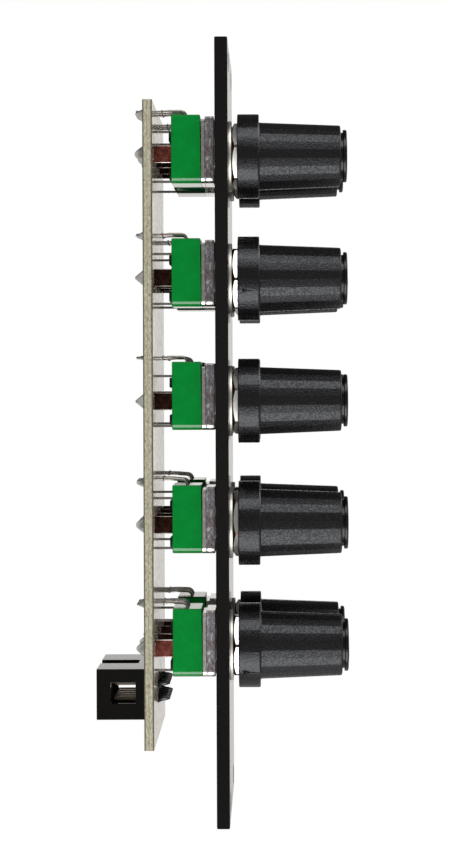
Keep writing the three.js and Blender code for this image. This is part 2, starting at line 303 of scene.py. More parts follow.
def ramp(tree, value, stops):
    """Colour or grey along stops of (place, value)."""
    node = added(tree, "ShaderNodeValToRGB", {"Fac": value})
    elements = node.color_ramp.elements
    while len(elements) < len(stops):
        elements.new(0.5)
    for element, (position, color) in zip(elements, stops):
        element.position = position
        element.color = (*color, 1) if isinstance(color, tuple) else (color, color, color, 1)
    return node.outputs["Color"]


def vary(tree, shader, socket, value, stops):
    """Drives a socket of the shader along stops of (place, value)."""
    tree.links.new(ramp(tree, value, stops), shader.inputs[socket])


def bump(tree, shader, height, strength, distance):
    inputs = {"Strength": strength, "Distance": distance, "Height": height}
    tree.links.new(added(tree, "ShaderNodeBump", inputs).outputs["Normal"], shader.inputs["Normal"])


def knob_plastic(name, low, high, relief):
    """Satin black moulded plastic with a fine grain, of roughness between low and high."""
    material, tree, shader = new_material(name, (0.004, 0.004, 0.0045), high, specular=0.41)
    # A bluish tint on the reflections stands in for bluish light: painted tint of the highlights
    shader.inputs["Specular Tint"].default_value = (0.93, 0.95, 1, 1)
    place = object_place(tree)
    grain = noise(tree, place, 3.6, 2.0, 0.6)
    flecks = noise(tree, place, 2.9, 1.0)
    dark = (0.0014, 0.0012, 0.0016)
    middle = (0.004, 0.0038, 0.0044)
    light = (0.012, 0.012, 0.014)
    vary(tree, shader, "Base Color", flecks, [(0.45, dark), (0.6, middle), (0.75, light)])
    vary(tree, shader, "Roughness", flecks, [(0.35, high), (0.62, low)])
    bump(tree, shader, grain, 0.8, relief)
    return material


def cap_plastic():
    """Smoother black plastic of the caps."""
    material, tree, shader = new_material("cap_plastic", (0.001, 0.001, 0.0012), 0.3, specular=0.36)
    grain = noise(tree, object_place(tree), 4.0, 2.0)
    vary(tree, shader, "Roughness", grain, [(0.3, 0.22), (0.8, 0.34)])
    bump(tree, shader, grain, 0.2, 0.03 * MM)
    return material


def pointer_paint():
    material, tree, shader = new_material("pointer_paint", (0.75, 0.75, 0.73), 0.5)
    tone = noise(tree, object_place(tree), 5.0)
    vary(tree, shader, "Base Color", tone, [(0.3, (0.66, 0.66, 0.63)), (0.8, (0.8, 0.8, 0.78))])
    return material


def panel_coat():
    """Black satin coat on the panel, with fine specks."""
    material, tree, shader = new_material("panel_coat", (0.0045, 0.0038, 0.0042), 0.2, specular=0.36)
    place = object_place(tree)
    specks = noise(tree, place, 6.0, 3.0, 0.7)
    cloud = noise(tree, place, 0.8)
    dark = (0.0006, 0.0003, 0.0004)
    light = (0.0012, 0.0007, 0.0009)
    vary(tree, shader, "Base Color", cloud, [(0.3, dark), (0.75, light)])
    vary(tree, shader, "Roughness", specks, [(0.3, 0.12), (0.75, 0.2)])
    shader.inputs["Specular Tint"].default_value = (1, 0.985, 0.95, 1)
    bump(tree, shader, specks, 0.1, 0.015 * MM)
    return material


def laminate():
    """Glass fibre laminate of the board's edge, in layers between two dark skins."""
    material, tree, shader = new_material("laminate", (0.38, 0.36, 0.27), 0.65)
    split = added(tree, "ShaderNodeSeparateXYZ", {"Vector": object_place(tree)})
    faces = {"From Min": BOARD_FRONT / MM, "From Max": BOARD_BACK / MM, "Value": split.outputs["Y"]}
    depth = added(tree, "ShaderNodeMapRange", faces)
    skin = (0.09, 0.082, 0.06)
    resin = (0.42, 0.395, 0.29)
    core = (0.29, 0.27, 0.2)
    stops = [(0.0, skin), (0.1, skin), (0.2, resin), (0.45, resin)]
    stops += [(0.53, core), (0.6, resin), (0.82, resin), (0.92, skin)]
    layers = ramp(tree, depth.outputs["Result"], stops)
    fibre = noise(tree, object_place(tree, (1, 2, 0.8)), 2.2, 3.0, 0.75)
    tones = [(0.34, (0.42, 0.4, 0.34)), (0.44, (0.86, 0.85, 0.79))]
    tones += [(0.56, (1.04, 1.04, 1.0)), (0.68, (1.5, 1.52, 1.55))]
    parts = {"Factor": 1, "A": layers, "B": ramp(tree, fibre, tones)}
    mix = added(tree, "ShaderNodeMix", parts, data_type="RGBA", blend_type="MULTIPLY")
    tree.links.new(mix.outputs["Result"], shader.inputs["Base Color"])
    bump(tree, shader, fibre, 0.4, 0.05 * MM)
    return material


def solder_mask():
    """Glossy black solder mask on the board's faces, with patches of warm painted sheen that stand in for a
    warm reflection at grazing angles.
    """
    material, tree, shader = new_material("solder_mask", (0.007, 0.0075, 0.0075), 0.18)
    place = object_place(tree)
    cloud = noise(tree, place, 0.25)
    ripple = noise(tree, place, 0.9)
    patches = noise(tree, object_place(tree, (1, 1, 0.45)), 0.8, 4.0, 0.7)
    vary(tree, shader, "Base Color", cloud, [(0.3, (0.006, 0.0065, 0.0065)), (0.7, (0.01, 0.0105, 0.01))])
    vary(tree, shader, "Roughness", ripple, [(0.3, 0.1), (0.75, 0.2)])
    # Warm sheen in patches and a warm tint on the reflections: painted reflection of warm surroundings at
    # grazing angles
    vary(tree, shader, "Sheen Weight", patches, [(0.38, 0.0), (0.66, 0.3)])
    shader.inputs["Specular Tint"].default_value = (1, 0.97, 0.92, 1)
    shader.inputs["Sheen Roughness"].default_value = 0.3
    shader.inputs["Sheen Tint"].default_value = (1, 0.82, 0.64, 1)
    bump(tree, shader, ripple, 0.1, 0.03 * MM)
    return material


def green_plastic(name, specular, low, high):
    """Green moulded plastic of the housings, of roughness between low and high."""
    material, tree, shader = new_material(name, (0.0004, 0.225, 0.03), high, specular=specular)
    place = object_place(tree)
    cloud = noise(tree, place, 0.5)
    grain = noise(tree, place, 5.0, 2.0)
    vary(tree, shader, "Base Color", cloud, [(0.3, (0.0003, 0.205, 0.027)), (0.7, (0.0006, 0.25, 0.034))])
    vary(tree, shader, "Roughness", grain, [(0.3, low), (0.8, high)])
    bump(tree, shader, grain, 0.12, 0.03 * MM)
    return material


def metal(name, color, low, high, scale, strength, spread=0.12, stretch=(1, 1, 1)):
    """Metal of roughness between low and high. spread sets its mottles' contrast, strength their relief."""
    material, tree, shader = new_material(name, color, high, 1.0)
    mottle = noise(tree, object_place(tree, stretch), scale, 4.0, 0.65)
    dark = tuple(channel * (1 - spread) for channel in color)
    light = tuple(min(1, channel * (1 + spread)) for channel in color)
    vary(tree, shader, "Base Color", mottle, [(0.3, dark), (0.7, light)])
    vary(tree, shader, "Roughness", mottle, [(0.3, low), (0.7, high)])
    bump(tree, shader, mottle, strength, 0.04 * MM)
    return material


def mottled_metal(name, colors):
    """Dull plated sheet with blotches in several tones."""
    material, tree, shader = new_material(name, colors[0], 0.5, 1.0)
    place = object_place(tree, (1, 1, 0.55))
    blotch = noise(tree, place, 2.4, 3.0, 0.7)
    grain = noise(tree, place, 3.1, 3.0, 0.6)
    vary(tree, shader, "Base Color", blotch, [(0.36 + 0.09 * i, color) for i, color in enumerate(colors)])
    vary(tree, shader, "Roughness", grain, [(0.3, 0.36), (0.7, 0.56)])
    bump(tree, shader, grain, 0.4, 0.05 * MM)
    return material


def black_plastic(name, color, roughness, specular=0.5):
    material, tree, shader = new_material(name, color, roughness, specular=specular)
    grain = noise(tree, object_place(tree), 3.0)
    light = tuple(1.5 * channel for channel in color)
    vary(tree, shader, "Base Color", grain, [(0.3, color), (0.8, light)])
    vary(tree, shader, "Roughness", grain, [(0.3, roughness - 0.05), (0.75, roughness + 0.05)])
    bump(tree, shader, grain, 0.1, 0.03 * MM)
    return material


KNOB = knob_plastic("knob_plastic", low=0.22, high=0.48, relief=0.065 * MM)
FLANGE = knob_plastic("flange_plastic", low=0.2, high=0.36, relief=0.06 * MM)
CAP = cap_plastic()
PAINT = pointer_paint()
COAT = panel_coat()
LAMINATE = laminate()
MASK = solder_mask()
GREEN = green_plastic("green_plastic", specular=0.1, low=0.24, high=0.36)
GREEN_EDGE = green_plastic("green_edge_plastic", specular=0.6, low=0.1, high=0.16)
COVER_TONES = [(0.16, 0.13, 0.16), (0.36, 0.29, 0.29), (0.27, 0.3, 0.34), (0.78, 0.74, 0.74)]
FRAME_TONES = [(0.34, 0.33, 0.29), (0.48, 0.42, 0.39), (0.34, 0.4, 0.36), (0.66, 0.62, 0.57)]
COVER = mottled_metal("cover_metal", COVER_TONES)
# Lighter and shinier than the cover's blotches: a painted highlight on the cover's and frame's upper and
# lower sides and lower corners, also on the lit lugs' edges
COVER_EDGE = metal("cover_edge_highlight_metal", (0.72, 0.7, 0.68), 0.16, 0.26, scale=1.6, strength=0.05, spread=0.1)
FRAME_METAL = mottled_metal("frame_metal", FRAME_TONES)
NUT_METAL = metal("nut_plating", (0.86, 0.83, 0.79), 0.28, 0.36, scale=1.2, strength=0.03, spread=0.06)
# Dark brown metal on the nuts' back chamfers and corner roundings: painted shade and dark reflection for the
# gap against the washer and the dark lines at the corners
NUT_EDGE_SHADE = metal(
    "nut_edge_painted_shade", (0.13, 0.095, 0.075), 0.3, 0.42, scale=1.2, strength=0.06, spread=0.3
)
WASHER_METAL = metal("washer_plating", (0.9, 0.85, 0.78), 0.4, 0.5, scale=1.2, strength=0.06, spread=0.06)
SHAFT_METAL = metal("shaft_metal", (0.62, 0.62, 0.63), 0.25, 0.4, scale=1.5, strength=0.1, stretch=(1, 4, 1))
LEAD_METAL = metal("lead_metal", (0.38, 0.355, 0.325), 0.2, 0.32, scale=0.7, strength=0.03, spread=0.2)
# Lug metals: the usual one is near-black red-brown, its darkness partly painted reflection of dark, warm
# surroundings; the lit copy is lighter and redder, a painted highlight
LUG_METAL = metal("lug_metal", (0.034, 0.014, 0.0095), 0.3, 0.5, scale=1.6, strength=0.3, spread=0.7)
LIT_LUG_METAL = metal("lit_lug_metal", (0.2, 0.06, 0.045), 0.3, 0.5, scale=1.6, strength=0.3, spread=0.6)
SOLDER = metal("solder", (0.82, 0.82, 0.79), 0.12, 0.32, scale=1.3, strength=0.25, spread=0.15)
# Near-black solder on the header pins in front of the board: painted shade for the shadowed space between
# board and panel
SHADED_SOLDER = metal("shaded_solder", (0.085, 0.08, 0.088), 0.25, 0.45, scale=1.6, strength=0.4, spread=0.4)
PIN_METAL = metal("contact_plating", (0.32, 0.26, 0.2), 0.24, 0.4, scale=1.5, strength=0.08)
HEADER = black_plastic("header_plastic", (0.0008, 0.0005, 0.0004), 0.16, 0.28)
HEADER_INSIDE = black_plastic("header_inside", (0.004, 0.003, 0.0025), 0.7)
PAD = black_plastic("pad_plastic", (0.01, 0.01, 0.01), 0.5)


# Panel

PANEL_EDGE = 0.22 * MM
PANEL_HOLE_RADIUS = 3.62 * MM


def circle_points(x, z, radius):
    return [(x + radius * math.sin(angle), z + radius * math.cos(angle)) for angle in even_angles(64)]


def slot_points(x, z):
    half = (SLOT_LENGTH - SLOT_WIDTH) / 2
    right = arc((x + half, z), SLOT_WIDTH / 2, -90, 90, 16)
    left = arc((x - half, z), SLOT_WIDTH / 2, 90, 270, 16)
    return right + left


def plate_mesh(name, outlines, front, back, edge, material):
    """Plate with holes: the first outline is its rim, and edge is the radius of its rounded edges."""
    curve = bpy.data.curves.new(name, "CURVE")
    curve.dimensions = "2D"
    curve.fill_mode = "BOTH"
    curve.extrude = (back - front) / 2 - edge
    curve.bevel_depth = edge
    curve.bevel_resolution = 2
    curve.offset = -edge
    for outline in outlines:
        spline = curve.splines.new("POLY")
        spline.points.add(len(outline) - 1)
        for point, (x, z) in zip(spline.points, outline):
            point.co = (x, z, 0, 1)
        spline.use_cyclic_u = True
    shape = in_scene(bpy.data.objects.new(name, curve))
    mesh = evaluated_mesh(shape)
    bpy.data.objects.remove(shape)
    upright = Matrix.Translation((0, (front + back) / 2, 0)) @ Matrix.Rotation(math.radians(90), 4, "X")
    mesh.transform(upright)
    bm = copied(mesh)
    seam = 0.001 * MM
    bmesh.ops.remove_doubles(bm, verts=bm.verts, dist=seam)
    bpy.data.meshes.remove(mesh)
    return finished(bm, name, [material])


def control_axes():
    """Place of each control's axis, in the order of the numbers."""
    return [(joint["pos_m"][0], joint["pos_m"][2]) for joint in frame["joints"]]


def make_panel():
    low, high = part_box("panel")
    rim = [(low.x, low.z), (high.x, low.z), (high.x, high.z), (low.x, high.z)]
    holes = [circle_points(x, z, PANEL_HOLE_RADIUS) for x, z in control_axes()]
    first = low.x + SLOT_FROM_SIDE
    rise = high.z - SLOT_FROM_END
    slots = [slot_points(x, z) for x in (first, first + SLOT_SPACING) for z in (rise, -rise)]
    mesh = plate_mesh("panel_plate", [rim, *holes, *slots], low.y, high.y, PANEL_EDGE, COAT)
    piece("panel_plate", mesh, "chassis", ["panel"])


# Circuit board with its pads and solder

BOARD_EDGE = 0.08 * MM
LEAD_PLACES = [-2.5 * MM, 0, 2.5 * MM]
LEAD_HEIGHT = 7.175 * MM
LUG_PLACE = 4.425 * MM
LUG_TAIL_WIDTH = 1.8 * MM
SOLDER_HEIGHT = 1.55 * MM
SOLDER_TOP = SOLDER_HEIGHT * 0.95
LEAD_END = BOARD_BACK + SOLDER_HEIGHT * 0.9
HEADER_SOLDER_HEIGHT = 1.4 * MM
CONTACT_PITCH = 2.54 * MM
CONTACT_WIDTH = 0.64 * MM
CONTACT_TAIL = 2 * MM
CONTACT_COLUMNS = (-2, -1, 0, 1, 2)
PAD_THICKNESS = 0.035 * MM
LEAD_PAD_RADIUS = 1.05 * MM
LUG_PAD_RADIUS = 1 * MM
LUG_PAD_STRETCH = 1.6

# Half widths of the solder at its foot and at its tip. A pair holds those across X and across Z
LEAD_SOLDER_FOOT = 0.82 * MM
LEAD_SOLDER_TIP = (0.15 * MM, 0.15 * MM)
LUG_SOLDER_FOOT = (0.9 * MM, 1.42 * MM)
LUG_SOLDER_TIP = (0.16 * MM, 0.2 * MM)
HEADER_SOLDER_FOOT = 0.85 * MM
HEADER_SOLDER_TIP = 0.44 * MM

# How the solder on each row's legs differs, from the top down, as hand soldering does
LEAD_SOLDER_SIZES = [1.15, 1.0, 0.62, 1.05, 0.9]
LEAD_SOLDER_DROPS = [0.35 * MM, 0.1 * MM, 0, 0.3 * MM, 0.1 * MM]
LEAD_SOLDER_FULLNESS = [0.9, 1.4, 1.4, 0.7, 1.2]
LUG_SOLDER_FULLNESS = [0.7, 1.05, 1.1, 0.72, 0.8]
ROWS = len(LEAD_SOLDER_SIZES)


def header_middle():
    low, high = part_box("power_header")
    return (low.z + high.z) / 2


def contact_places():
    rows = [-CONTACT_PITCH / 2, CONTACT_PITCH / 2]
    return [(CONTACT_PITCH * column, header_middle() + row) for row in rows for column in CONTACT_COLUMNS]


def make_board():
    bm = bmesh.new()
    half = Vector((BOARD_WIDTH / 2, 0, BOARD_HEIGHT / 2))
    block(bm, Vector((0, BOARD_FRONT, BOARD_RISE)) - half, Vector((0, BOARD_BACK, BOARD_RISE)) + half)
    bevel(bm, BOARD_EDGE)
    facing = 0.9
    for face in bm.faces:
        face.material_index = 1 if abs(face.normal.y) > facing else 0
    mesh = finished(bm, "board", [LAMINATE, MASK])
    piece("board_plate", mesh, "chassis", ["main_board"])


def header_solder(bm, place):
    """Hollow cone of solder that climbs a pin of the header from the board's front."""
    x, z = place
    angles = even_angles(20)
    hollow = 2.2
    tip_share = 1.04
    rings = [[Vector((x, BOARD_FRONT, z))]]
    for up in (0, 0.15, 0.35, 0.6, 0.85, 1):
        out = (1 - up) ** hollow
        reach = HEADER_SOLDER_TIP + (HEADER_SOLDER_FOOT - HEADER_SOLDER_TIP) * out
        y = BOARD_FRONT - HEADER_SOLDER_HEIGHT * up
        rings.append([Vector((x + reach * math.sin(a), y, z + reach * math.cos(a))) for a in angles])
    rings.append([Vector((x, BOARD_FRONT - HEADER_SOLDER_HEIGHT * tip_share, z))])
    loft(bm, rings)


def solder_mound(bm, place, foot, tip, fullness):
    """Solder round a leg, between oval and square. fullness under 1 bulges, over 1 hollows."""
    x, z = place
    squareness = 0.7
    tip_share = 1.03
    rings = [[Vector((x, BOARD_BACK, z))]]
    for up in (0, 0.1, 0.25, 0.45, 0.65, 0.82, 0.94, 1):
        out = (1 - up) ** fullness
        wide = tip[0] + (foot[0] - tip[0]) * out
        tall = tip[1] + (foot[1] - tip[1]) * out
        points = []
        for angle in even_angles(28):
            across = math.copysign(abs(math.sin(angle)) ** squareness, math.sin(angle))
            rise = math.copysign(abs(math.cos(angle)) ** squareness, math.cos(angle))
            points.append(Vector((x + wide * across, BOARD_BACK + SOLDER_TOP * up, z + tall * rise)))
        rings.append(points)
    rings.append([Vector((x, BOARD_BACK + SOLDER_TOP * tip_share, z))])
    loft(bm, rings)


def make_back_solder():
    bm = bmesh.new()
    for index, (x, z) in enumerate(control_axes()):
        row = index % ROWS
        foot = LEAD_SOLDER_FOOT * LEAD_SOLDER_SIZES[row]
        for across in LEAD_PLACES:
            place = (x + across, z + LEAD_HEIGHT - LEAD_SOLDER_DROPS[row])
            solder_mound(bm, place, (foot, foot), LEAD_SOLDER_TIP, LEAD_SOLDER_FULLNESS[row])
        for side in (-1, 1):
            place = (x + side * LUG_PLACE, z)
            solder_mound(bm, place, LUG_SOLDER_FOOT, LUG_SOLDER_TIP, LUG_SOLDER_FULLNESS[row])
    piece("board_back_solder", finished(bm, "board_back_solder", [SOLDER], 50), "chassis")


def make_header_solder():
    bm = bmesh.new()
    for place in contact_places():
        header_solder(bm, place)
    piece("board_header_solder", finished(bm, "board_header_solder", [SHADED_SOLDER]), "chassis")


def copper_pad(bm, x, z, radius, stretch=1):
    """Tinned copper pad round a hole, on the board's back, stretched along Z."""
    angles = even_angles(28)
    profile = [(0, BOARD_BACK), (radius, BOARD_BACK), (radius, BOARD_BACK + PAD_THICKNESS)]
    profile.append((0, BOARD_BACK + PAD_THICKNESS))
    made = loft(bm, [ring(reach, y, angles) for reach, y in profile])
    verts = [vert for row in made for vert in row]
    for vert in verts:
        vert.co.z *= stretch
    bmesh.ops.translate(bm, verts=verts, vec=(x, 0, z))


def make_pads():
    bm = bmesh.new()
    for x, z in control_axes():
        for across in LEAD_PLACES:
            copper_pad(bm, x + across, z + LEAD_HEIGHT, LEAD_PAD_RADIUS)
        for side in (-1, 1):
            copper_pad(bm, x + side * LUG_PLACE, z, LUG_PAD_RADIUS, LUG_PAD_STRETCH)
    piece("board_pads", finished(bm, "board_pads", [SOLDER]), "chassis")


# Power header

HEADER_WALL = 1.05 * MM
HEADER_FLOOR = 1.95 * MM
HEADER_EDGE = 0.12 * MM
KEY_WIDTH = 4.5 * MM
WINDOW_WIDTH = 3.5 * MM
WINDOW_HEIGHT = 4.15 * MM
WINDOW_RISE = 0.2 * MM
CONTACT_REACH = 5.75 * MM
CONTACT_POINT = 0.4 * MM


def make_header():
    box_low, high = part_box("power_header")
    low = Vector((box_low.x, BOARD_BACK, box_low.z))
    floor = BOARD_BACK + HEADER_FLOOR
    back = high.y + PAST
    middle = header_middle()
    window = middle + WINDOW_RISE
    inner = (high.x - HEADER_WALL, high.z - HEADER_WALL)
    bm = bmesh.new()
    block(bm, low, high)
    tools = [
        box_tool((low.x + HEADER_WALL, floor, low.z + HEADER_WALL), (inner[0], back, inner[1])),
        box_tool((-KEY_WIDTH / 2, floor, middle), (KEY_WIDTH / 2, back, high.z + PAST)),
        box_tool(
            (low.x - PAST, floor, window - WINDOW_WIDTH / 2),
            (high.x + PAST, floor + WINDOW_HEIGHT, window + WINDOW_WIDTH / 2),
        ),
    ]
    bm = copied(with_cuts(finished(bm, "header_shroud", [HEADER]), tools, "header_shroud"))
    bmesh.ops.dissolve_limit(bm, angle_limit=math.radians(1), verts=bm.verts, edges=bm.edges)
    bevel(bm, HEADER_EDGE)
    skin = 0.05 * MM
    lip = 0.2 * MM
    for face in bm.faces:
        place = face.calc_center_median()
        inside = abs(place.x) < inner[0] - skin and abs(place.z - middle) < inner[1] - middle - skin
        face.material_index = 1 if inside and place.y < high.y - lip else 0
    mesh = finished(bm, "header_shroud", [HEADER, HEADER_INSIDE])
    piece("power_header_shroud", mesh, "chassis", ["power_header"])


def make_contacts():
    """Ten square pins with pointed ends, tinned in front of the board, where their solder is near black as
    painted shade.
    """
    bm = bmesh.new()
    half = CONTACT_WIDTH / 2
    front = BOARD_FRONT - CONTACT_TAIL
    back = BOARD_BACK + CONTACT_REACH
    profile = [(half / 2, front), (half, front + CONTACT_POINT), (half, BOARD_FRONT + CONTACT_POINT)]
    profile += [(half, back - CONTACT_POINT), (half / 2, back)]
    for x, z in contact_places():
        rings = [[Vector((x + sx * reach, y, z + sz * reach)) for sx, sz in SQUARE] for reach, y in profile]
        loft(bm, with_ends(rings))
    for face in bm.faces:
        face.material_index = 1 if face.calc_center_median().y < BOARD_FRONT else 0
    contacts = finished(bm, "contacts", [PIN_METAL, SHADED_SOLDER])
    piece("power_header_contacts", contacts, "chassis")


# Potentiometer

HOUSING_HALF = 4.85 * MM
HOUSING_TOP = 6.5 * MM
HOUSING_BOTTOM = -4.75 * MM
HOUSING_CORNER = 1.1 * MM
HOUSING_EDGE = 0.14 * MM
COVER_HALF = 4.85 * MM
COVER_TOP = 6.2 * MM
COVER_CORNER = 1 * MM
COVER_EDGE_RADIUS = 0.09 * MM
COVER_FRAME_FRONT = 1.74 * MM
COVER_FRAME_HALF = 4.8 * MM
COVER_FRAME_TOP = COVER_TOP - 0.45 * MM
COVER_FRAME_EDGE = 0.05 * MM


def upright_outline(half, top, corner):
    """Outline seen from the front, with wide rounding at its lower corners and narrow rounding above."""
    small = 0.3 * MM
    outline = arc((-half + corner, HOUSING_BOTTOM + corner), corner, 180, 270, 8)
    outline += arc((half - corner, HOUSING_BOTTOM + corner), corner, 270, 360, 8)
    outline += arc((half - small, top - small), small, 0, 90, 3)
    outline += arc((-half + small, top - small), small, 90, 180, 3)
    return outline


def mark_ends(bm, index):
    """Gives the upper and lower sides and the lower corners their own material, which is shinier, and on the
    cover also lighter as a painted highlight.
    """
    bm.normal_update()
    downward = -0.1
    upward = 0.9
    for face in bm.faces:
        if face.normal.z < downward or face.normal.z > upward:
            face.material_index = index


def housing_mesh():
    """Moulded housing, whose upper front edge leans back a little."""
    bm = bmesh.new()
    prism(bm, upright_outline(HOUSING_HALF, HOUSING_TOP, HOUSING_CORNER), COVER_BACK, HOUSING_BACK)
    near = 0.1 * MM
    lean_height = 0.4 * MM
    lean = 0.15 * MM
    for vert in bm.verts:
        if vert.co.y < COVER_BACK + near and vert.co.z > HOUSING_TOP - lean_height:
            vert.co.y += lean
    bevel(bm, HOUSING_EDGE, 2, 60)
    mark_ends(bm, 1)
    return finished(bm, "pot_housing", [GREEN, GREEN_EDGE])


def cover_mesh():
    """Plated cover: a thin frame next to the housing, the deep drawn front, a shoulder and a tab."""
    rear = bmesh.new()
    rear_outline = upright_outline(COVER_FRAME_HALF, COVER_FRAME_TOP, COVER_CORNER)
    prism(rear, rear_outline, COVER_FRAME_FRONT, COVER_BACK)
    bevel(rear, COVER_FRAME_EDGE, 1, 60)
    for face in rear.faces:
        face.material_index = 1
    mark_ends(rear, 2)
    front = bmesh.new()
    prism(front, upright_outline(COVER_HALF, COVER_TOP, COVER_CORNER), SHOULDER_BACK, COVER_FRAME_FRONT)
    bevel(front, COVER_EDGE_RADIUS, 2, 60)
    mark_ends(front, 2)
    shoulder_radius = 4.3 * MM
    shoulder_edge = 0.1 * MM
    root = SHOULDER_BACK + 0.1 * MM
    tab_low = (-4.1 * MM, 0, -3.5 * MM)
    tab_high = (-3.1 * MM, root, -2.7 * MM)
    details = bmesh.new()
    block(details, tab_low, tab_high)
    shoulder = [(0, root), (shoulder_radius, root), (shoulder_radius, 0), (0, 0)]
    revolve(details, rounded_profile(shoulder, {2: shoulder_edge}))
    bm = bmesh.new()
    for part in (rear, front, details):
        scratch = bpy.data.meshes.new("cover_part")
        part.to_mesh(scratch)
        part.free()
        bm.from_mesh(scratch)
        bpy.data.meshes.remove(scratch)
    return finished(bm, "pot_cover", [COVER, FRAME_METAL, COVER_EDGE])


def bushing_mesh():
    """Threaded bushing, whose ridges show where it stands out of the nut."""
    bm = bmesh.new()
    bore = 3.2 * MM
    outer = 3.5 * MM
    root = 3.25 * MM
    pitch = 0.75 * MM
    front = -5 * MM
    back = 0.3 * MM
    profile = [(bore, back), (bore, front), (root, front)]
    turns = 6
    quarter = 0.25
    for i in range(turns):
        y = front + pitch * (i + quarter)
        profile += [(outer, y), (root, y + pitch / 2)]
    profile.append((outer, back))
    revolve(bm, profile, closed=True)
    return finished(bm, "pot_bushing", [NUT_METAL])


def wire(bm, path, thickness):
    """Square wire that follows a path of (y, z) points."""
    rings = []
    for i, (y, z) in enumerate(path):
        before = Vector(path[max(i - 1, 0)])
        after = Vector(path[min(i + 1, len(path) - 1)])
        along = (after - before).normalized()
        side = Vector((-along.y, along.x)) * thickness / 2
        rings.append([Vector((sx * thickness / 2, y + sn * side.x, z + sn * side.y)) for sx, sn in SQUARE])
    return [vert for row in loft(bm, with_ends(rings)) for vert in row]


LEAD_THICKNESS = 0.46 * MM
LEAD_EDGE = 0.13 * MM

# How high over its hole each row's leads reach the board's front, from the top down
LEAD_LIFTS = [0, 0, 0, 0.3 * MM, 0.1 * MM]


def lead_mesh(lift):
    """Three leads that arch out of the housing's top and run back through the board."""
    bm = bmesh.new()
    root = COVER_BACK + 2.45 * MM
    root_depth = 0.3 * MM
    level = LEAD_HEIGHT + lift
    top = LEAD_HEIGHT + 0.12 * MM
    crimp_end = BOARD_FRONT - 1.3 * MM
    slope_end = BOARD_FRONT - 2.6 * MM
    bend = 0.95 * MM
    path = [(LEAD_END, LEAD_HEIGHT), (BOARD_BACK, LEAD_HEIGHT), (BOARD_FRONT, level)]
    path += [(crimp_end, level), (slope_end, top + lift / 2)]
    path += arc((root + bend, top - bend), bend, 95, 180, 7)
    path.append((root, HOUSING_TOP - root_depth))
    crimp_front = BOARD_FRONT - 1.5 * MM
    crimp_back = BOARD_FRONT - 1.2 * MM
    crimp_half = 0.24 * MM
    crimp_reach = 0.36 * MM
    for across in LEAD_PLACES:
        verts = wire(bm, path, LEAD_THICKNESS)
        bmesh.ops.translate(bm, verts=verts, vec=(across, 0, 0))
        low = (across - crimp_half, crimp_front, level - crimp_reach)
        block(bm, low, (across + crimp_half, crimp_back, level + crimp_reach))
    bevel(bm, LEAD_EDGE, 3, 60)
    return finished(bm, "pot_leads", [LEAD_METAL], 80)


LUG_HALF_WIDTH = 1.45 * MM
LUG_HALF_THICKNESS = 0.225 * MM
LUG_TAIL_REACH = 0.4 * MM
LUG_EDGE = 0.19 * MM

# Potentiometers whose left lug is a lighter, redder copy of the lug metal: a painted highlight where the top
# and bottom rows catch more light
LIT_LUGS = (1, 5)


def lug_mesh(left_metal, edge_metal):
    """Two side lugs, which hold the potentiometer to the board, with painted highlights: brighter metal on
    their upper and lower edges.
    """
    bm = bmesh.new()
    half_tail = LUG_TAIL_WIDTH / 2
    for side in (-1, 1):
        near = side * LUG_PLACE - LUG_HALF_THICKNESS
        far = side * LUG_PLACE + LUG_HALF_THICKNESS
        block(bm, (near, HOUSING_BACK - OVERLAP, -LUG_HALF_WIDTH), (far, BOARD_FRONT, LUG_HALF_WIDTH))
        block(bm, (near, BOARD_FRONT - OVERLAP, -half_tail), (far, BOARD_BACK + LUG_TAIL_REACH, half_tail))
    bevel(bm, LUG_EDGE, 3)
    bm.normal_update()
    level = 0.5
    for face in bm.faces:
        if abs(face.normal.z) > level:
            face.material_index = 2
        elif face.calc_center_median().x > 0:
            face.material_index = 1
    return finished(bm, "pot_lugs", [left_metal, LUG_METAL, edge_metal], 60)


def back_pair_mesh(name, material, place, half_width, half_height, back, edge, segments=2):
    """Two blocks behind the housing, one above and one below its middle."""
    bm = bmesh.new()
    for z in (-place, place):
        low = (-half_width, HOUSING_BACK - OVERLAP, z - half_height)
        block(bm, low, (half_width, back, z + half_height))
    bevel(bm, edge, segments)
    return finished(bm, name, [material])


def pin_mesh():
    """Two thin support pins between the housing and the board."""
    half = 0.2 * MM
    place = 4.15 * MM
    edge = 0.05 * MM
    return back_pair_mesh("pot_pins", LEAD_METAL, place, half, half, BOARD_FRONT, edge, 1)


def pad_mesh():
    """Two black pads on the housing's back."""
    place = 3.05 * MM
    half_width = 2.5 * MM
    half_height = 0.85 * MM
    back = HOUSING_BACK + 0.5 * MM
    edge = 0.2 * MM
    return back_pair_mesh("pot_pads", PAD, place, half_width, half_height, back, edge)


def shaft_mesh():
    """Shaft with its flat, rotor and wiper."""
    bm = bmesh.new()
    radius = 3 * MM
    front = -15 * MM
    edge = 0.3 * MM
    rotor_radius = 3.8 * MM
    rotor_front = COVER_BACK + 0.3 * MM
    rotor_back = rotor_front + 1.2 * MM
    profile = [(0, front), (radius, front), (radius, rotor_front)]
    profile += [(rotor_radius, rotor_front), (rotor_radius, rotor_back), (0, rotor_back)]
    revolve(bm, rounded_profile(profile, {1: edge}))
    wiper_half = 0.5 * MM
    wiper_low = 2.5 * MM
    wiper_high = 3.5 * MM
    wiper_back = COVER_BACK + 3.1 * MM
    block(bm, (-wiper_half, rotor_back - OVERLAP, wiper_low), (wiper_half, wiper_back, wiper_high))
    flat_back = front + 9 * MM
    flat = -1.5 * MM
    outside = radius + PAST
    tool = box_tool((-outside, front - PAST, -outside), (outside, flat_back, flat))
    cut = with_cuts(finished(bm, "pot_shaft", [SHAFT_METAL]), [tool], "pot_shaft")
    return finished(copied(cut), "pot_shaft", [SHAFT_METAL])


# Nut and washer

